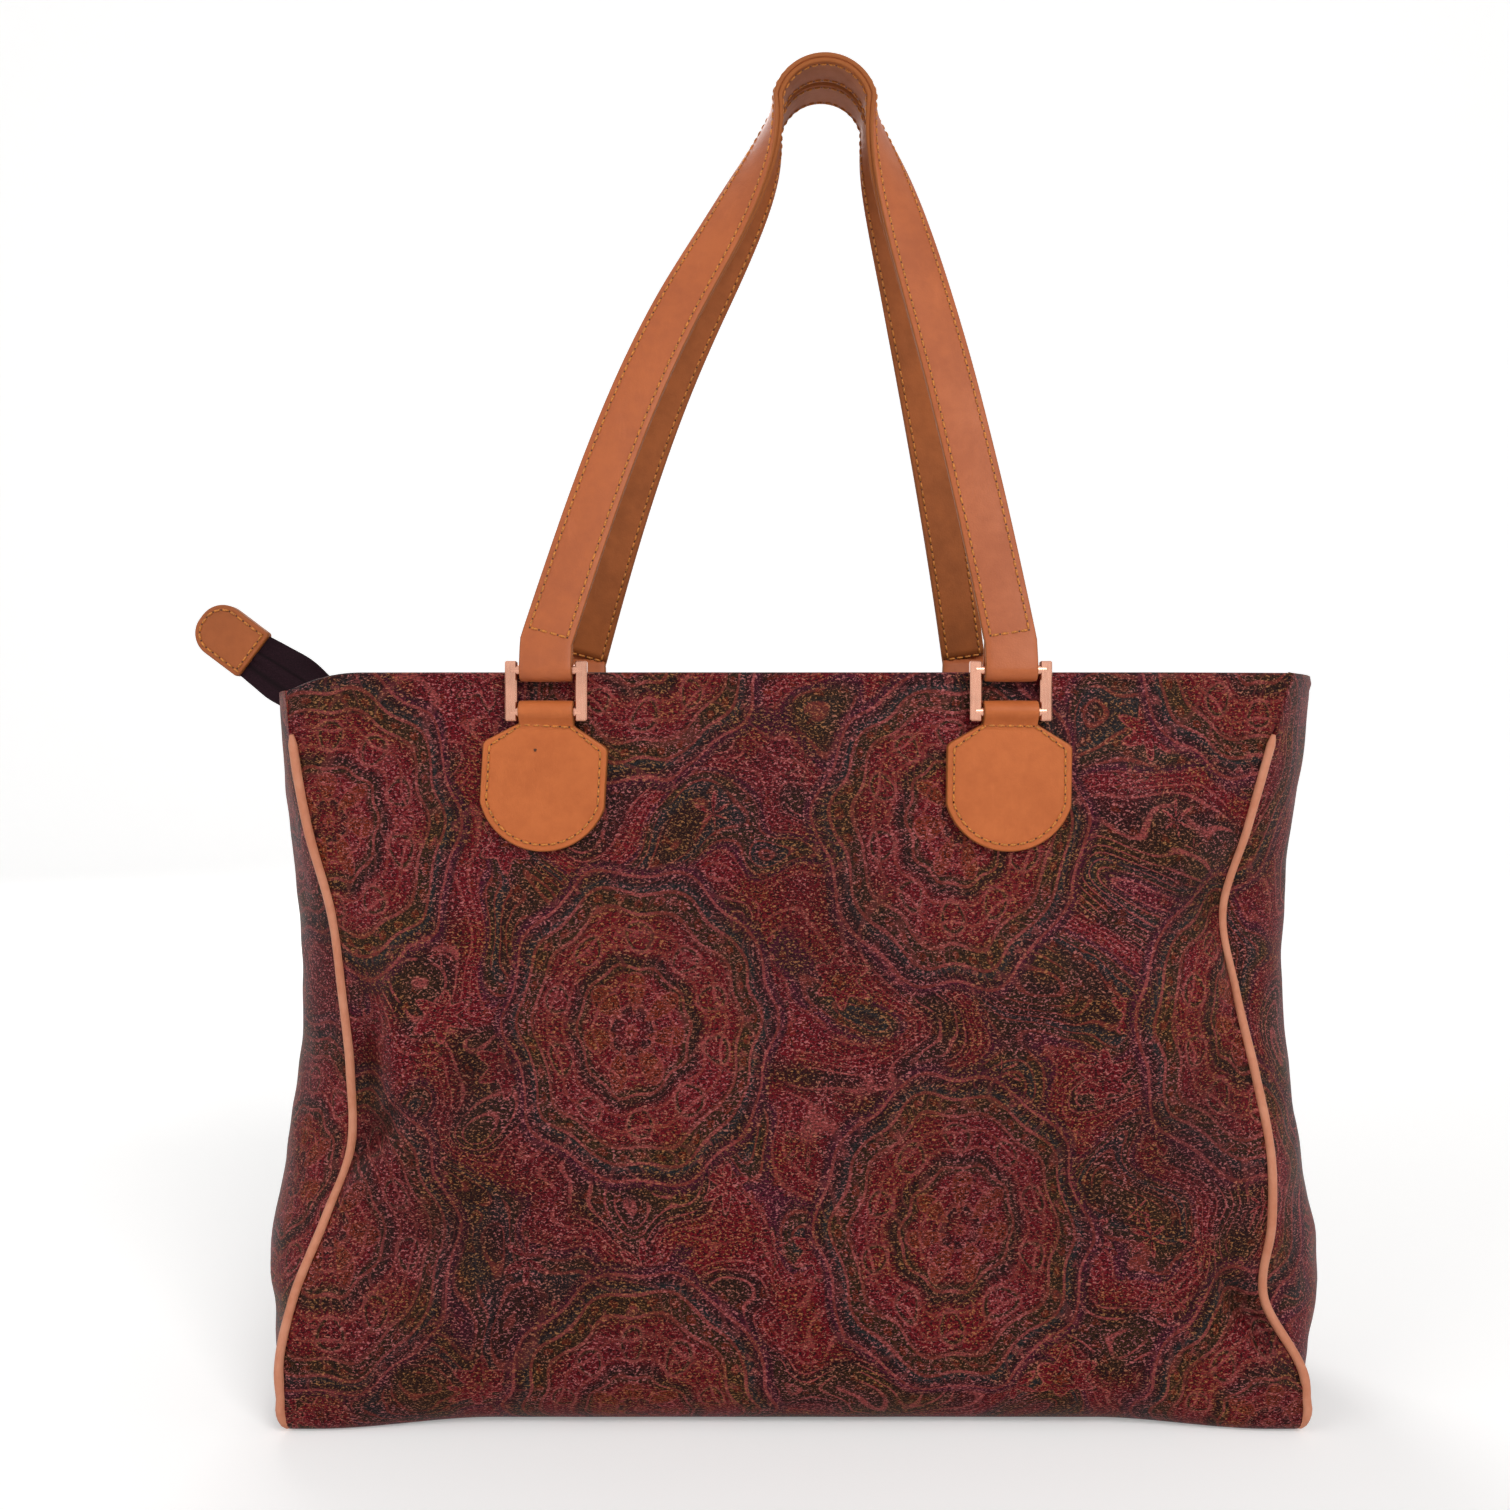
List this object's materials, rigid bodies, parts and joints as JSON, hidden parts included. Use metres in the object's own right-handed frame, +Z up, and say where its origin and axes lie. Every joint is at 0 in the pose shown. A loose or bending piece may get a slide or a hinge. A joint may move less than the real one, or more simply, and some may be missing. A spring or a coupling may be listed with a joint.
{
  "type": "tote handbag",
  "caption": "Zip-topped tote handbag: printed coated canvas body with swelling gussets, leather piping, shoulder straps on rectangular rings and a free zip end.",
  "frame": {"origin": "centre of the underside of the base panel, where the bag stands", "axes": "+X along the bag to the right of its front, +Y from front to rear, +Z up"},
  "size_m": [0.4733, 0.1378, 0.553],
  "materials": {
    "printed_canvas": "coated canvas with a fine grain, satin",
    "tan_leather": "smooth vegetable-tanned leather, satin",
    "lining_leather": "ochre leather, matt",
    "rose_gold_metal": "polished rose gold plating",
    "strip_canvas": "plain woven facing, matt",
    "zip_tape": "woven tape with a nylon coil, matt",
    "zip_metal": "polished rose gold plating"
  },
  "bodies": {
    "bag": {"front_panel": "printed_canvas", "rear_panel": "printed_canvas", "left_gusset": "printed_canvas", "right_gusset": "printed_canvas", "base_panel": "printed_canvas", "left_piping": "tan_leather", "right_piping": "tan_leather", "front_left_tab": "tan_leather", "front_right_tab": "tan_leather", "rear_left_tab": "tan_leather", "rear_right_tab": "tan_leather", "front_zip_strip": "strip_canvas", "rear_zip_strip": "strip_canvas", "front_zip_tape": "zip_tape", "rear_zip_tape": "zip_tape", "zip_tail": "zip_tape", "zip_end_tab": "tan_leather"},
    "front_rings": {"front_left_ring": "rose_gold_metal", "front_right_ring": "rose_gold_metal"},
    "rear_rings": {"rear_left_ring": "rose_gold_metal", "rear_right_ring": "rose_gold_metal"},
    "front_handle": {"front_strap": "tan_leather", "front_strap_lining": "lining_leather"},
    "rear_handle": {"rear_strap": "tan_leather", "rear_strap_lining": "lining_leather"},
    "slider": {"zip_slider": "zip_metal"},
    "pull": {"zip_pull": "zip_metal"}
  },
  "joints": [
    {"name": "front_ring_swing", "type": "hinge", "parent": "bag", "child": "front_rings", "pos_m": [0, -0.0646, 0.2795], "axis": [1, 0, 0], "range_deg": [0, 80]},
    {"name": "front_handle_swing", "type": "hinge", "parent": "front_rings", "child": "front_handle", "pos_m": [0, -0.0646, 0.2955], "axis": [1, 0, 0], "range_deg": [0, 95]},
    {"name": "rear_ring_swing", "type": "hinge", "parent": "bag", "child": "rear_rings", "pos_m": [0, 0.0646, 0.2795], "axis": [-1, 0, 0], "range_deg": [0, 80]},
    {"name": "rear_handle_swing", "type": "hinge", "parent": "rear_rings", "child": "rear_handle", "pos_m": [0, 0.0646, 0.2955], "axis": [-1, 0, 0], "range_deg": [0, 95]},
    {"name": "zip_slide", "type": "slide", "parent": "bag", "child": "slider", "axis": [-1, 0, 0], "range_m": [0, 0.28]},
    {"name": "zip_pull_flip", "type": "hinge", "parent": "slider", "child": "pull", "pos_m": [0.158, 0, 0.27725], "axis": [0, 1, 0], "range_deg": [0, 150]}
  ]
}
